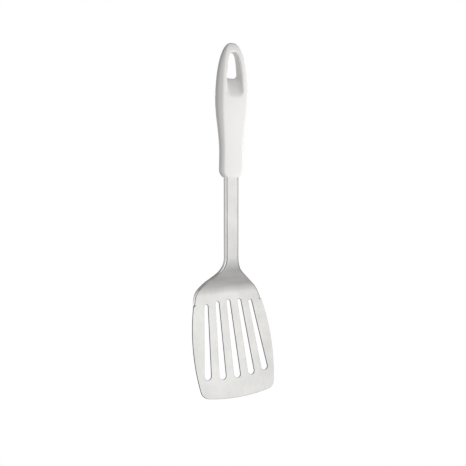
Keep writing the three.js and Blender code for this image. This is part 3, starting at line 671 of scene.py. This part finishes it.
def white_to_view(tree, surface, natural):
    """Mixes plain white into a material or world for rays from the camera, through glass and in
    reflections."""
    seen = tree.nodes.new("ShaderNodeLightPath")
    straight, shown = (tree.nodes.new("ShaderNodeMath") for _ in range(2))
    straight.operation = shown.operation = "MAXIMUM"
    choose = tree.nodes.new("ShaderNodeMixShader")
    on_floor = surface == "Material Output"
    white = tree.nodes.new("ShaderNodeEmission" if on_floor else "ShaderNodeBackground")
    white.inputs["Color"].default_value = (1, 1, 1, 1)
    tree.links.new(seen.outputs["Is Camera Ray"], straight.inputs[0])
    tree.links.new(seen.outputs["Is Transmission Ray"], straight.inputs[1])
    tree.links.new(straight.outputs["Value"], shown.inputs[0])
    tree.links.new(seen.outputs["Is Glossy Ray"], shown.inputs[1])
    tree.links.new(shown.outputs["Value"], choose.inputs["Fac"])
    tree.links.new(natural.outputs[0], choose.inputs[1])
    tree.links.new(white.outputs[0], choose.inputs[2])
    tree.links.new(choose.outputs["Shader"], tree.nodes[surface].inputs["Surface"])


floor_mesh = bpy.data.meshes.new("floor")
floor_corners = [
    (-FLOOR_HALF, -FLOOR_HALF, FLOOR_Z), (FLOOR_HALF, -FLOOR_HALF, FLOOR_Z),
    (FLOOR_HALF, FLOOR_HALF, FLOOR_Z), (-FLOOR_HALF, FLOOR_HALF, FLOOR_Z),
]
floor_mesh.from_pydata(floor_corners, [], [(0, 1, 2, 3)])
floor = bpy.data.objects.new("floor", floor_mesh)
bpy.context.scene.collection.objects.link(floor)
pale = bpy.data.materials.new("pale_floor")
pale.use_nodes = True
pale_shader = pale.node_tree.nodes["Principled BSDF"]
pale_shader.inputs["Base Color"].default_value = FLOOR_COLOUR
pale_shader.inputs["Roughness"].default_value = 0.8
white_to_view(pale.node_tree, "Material Output", pale_shader)
floor_mesh.materials.append(pale)
world = bpy.data.worlds.new("studio")
bpy.context.scene.world = world
world.use_nodes = True
fill = world.node_tree.nodes["Background"]
fill.inputs["Color"].default_value = (1, 1, 1, 1)
fill.inputs["Strength"].default_value = FILL_STRENGTH
white_to_view(world.node_tree, "World Output", fill)


# Lamps: a key low at the right, which leaves the left of the grip and the top of its arch in
# shade, a lamp straight in front, a weak one at the right and one behind for the back. They light
# the surfaces only, so none shows as a spot in the metal.
LAMP_MIDDLE, LAMP_REACH, LAMP_SIZE = Vector((0, 0, -0.13)), 1.6, 0.3


def towards(azimuth, height):
    """Direction at an azimuth, from the front round to the right, and a height above level, in
    radians: x, y and z of a point on a ball of radius 1."""
    level = np.cos(height)
    return np.stack([np.sin(azimuth) * level, -np.cos(azimuth) * level, np.sin(height)], axis=-1)


for name, azimuth, height, energy in (
    ("key", 60, -25, 16.5),
    ("front", 0, 0, 10),
    ("right", 100, -10, 4),
    ("back", -170, 5, 12),
):
    aim = Vector(towards(math.radians(azimuth), math.radians(height)))
    lamp_data = bpy.data.lights.new(name, "AREA")
    lamp_data.shape = "DISK"
    lamp_data.size = LAMP_SIZE
    lamp_data.energy = energy
    lamp = bpy.data.objects.new(name, lamp_data)
    bpy.context.scene.collection.objects.link(lamp)
    lamp.location = LAMP_MIDDLE + LAMP_REACH * aim
    lamp.rotation_euler = (-aim).to_track_quat("-Z", "Y").to_euler()
    lamp.visible_glossy = False


# Cards: plain grey sheets out of the picture, bent to parts of a ball round the turner, which give
# the steel something to reflect. Each is a range of azimuth and of height in degrees, with a grey
# for each height. The dark one overhead also keeps the light off what faces up.
CARD_POINTS, CARD_MIDDLE = 49, (0, 0, -0.18)
CARD_REACH, LOW_CARD_REACH = 1.2, 1.3
card_paint = bpy.data.materials.new("grey_card")
card_paint.use_nodes = True
nodes, links = card_paint.node_tree.nodes, card_paint.node_tree.links
shade = nodes.new("ShaderNodeAttribute")
shade.attribute_name = "shade"
glow = nodes.new("ShaderNodeEmission")
links.new(shade.outputs["Color"], glow.inputs["Color"])
links.new(glow.outputs["Emission"], nodes["Material Output"].inputs["Surface"])
card_cells = quads(np.arange(CARD_POINTS ** 2).reshape(CARD_POINTS, CARD_POINTS)).tolist()
for name, azimuths, heights, greys in (
    ("right_card", (46, 92), (-45, 40), (0.04, 0.04)),
    ("left_card", (-52, -4), (-45, 40), (0.02, 0.02)),
    ("left_strip", (-104, -97), (-25, 25), (2.0, 2.0)),
    ("back_card", (140, 222), (-8, 10), (0.42, 0.42)),
    ("high_back_card", (140, 222), (10, 40), (0.26, 0.26)),
    ("low_back_card", (140, 222), (-45, -8), (0.42, 0.42)),
    ("top_card", (-180, 180), (40, 90), (0.15, 0.15)),
    ("low_card", (-180, 180), (-90, -58, -14, 3), (0.31, 0.455, 0.74, 1.12)),
):
    across = np.linspace(*azimuths, CARD_POINTS)
    up = np.linspace(heights[0], heights[-1], CARD_POINTS)
    ball = towards(*np.meshgrid(np.radians(across), np.radians(up))).reshape(-1, 3)
    reach = LOW_CARD_REACH if name == "low_card" else CARD_REACH
    card_mesh = bpy.data.meshes.new(name)
    card_mesh.from_pydata(reach * ball + CARD_MIDDLE, [], card_cells)
    grey = np.interp(up, heights, greys).repeat(CARD_POINTS).astype(np.float32)
    card_mesh.attributes.new("shade", "FLOAT", "POINT").data.foreach_set("value", grey)
    card_mesh.materials.append(card_paint)
    card = bpy.data.objects.new(name, card_mesh)
    bpy.context.scene.collection.objects.link(card)
    card.visible_camera = card.visible_shadow = card.visible_transmission = False
    card.visible_diffuse = name == "top_card"


# Camera: set where the photograph was taken from, to the left of the front and level with the
# grip's nose, looking slightly down.
CAMERA_PLACE = (-0.299909, -0.517327, -0.107329)
YAW, ELEVATION = math.radians(30.19), math.radians(5.83)
SENSOR_WIDTH, LENS, FAR_CLIP = 36, 48.67, 20
camera_data = bpy.data.cameras.new("camera")
camera_data.sensor_width = SENSOR_WIDTH
camera_data.lens = LENS
camera_data.clip_end = FAR_CLIP
camera = bpy.data.objects.new("camera", camera_data)
bpy.context.scene.collection.objects.link(camera)
to_right = Vector((math.cos(YAW), -math.sin(YAW), 0))
to_up = Vector((
    math.sin(YAW) * math.sin(ELEVATION), math.cos(YAW) * math.sin(ELEVATION), math.cos(ELEVATION),
))
turned = Matrix((to_right, to_up, to_right.cross(to_up))).transposed().to_4x4()
camera.matrix_world = Matrix.Translation(CAMERA_PLACE) @ turned
bpy.context.scene.camera = camera
bpy.context.scene.view_settings.view_transform = "Standard"
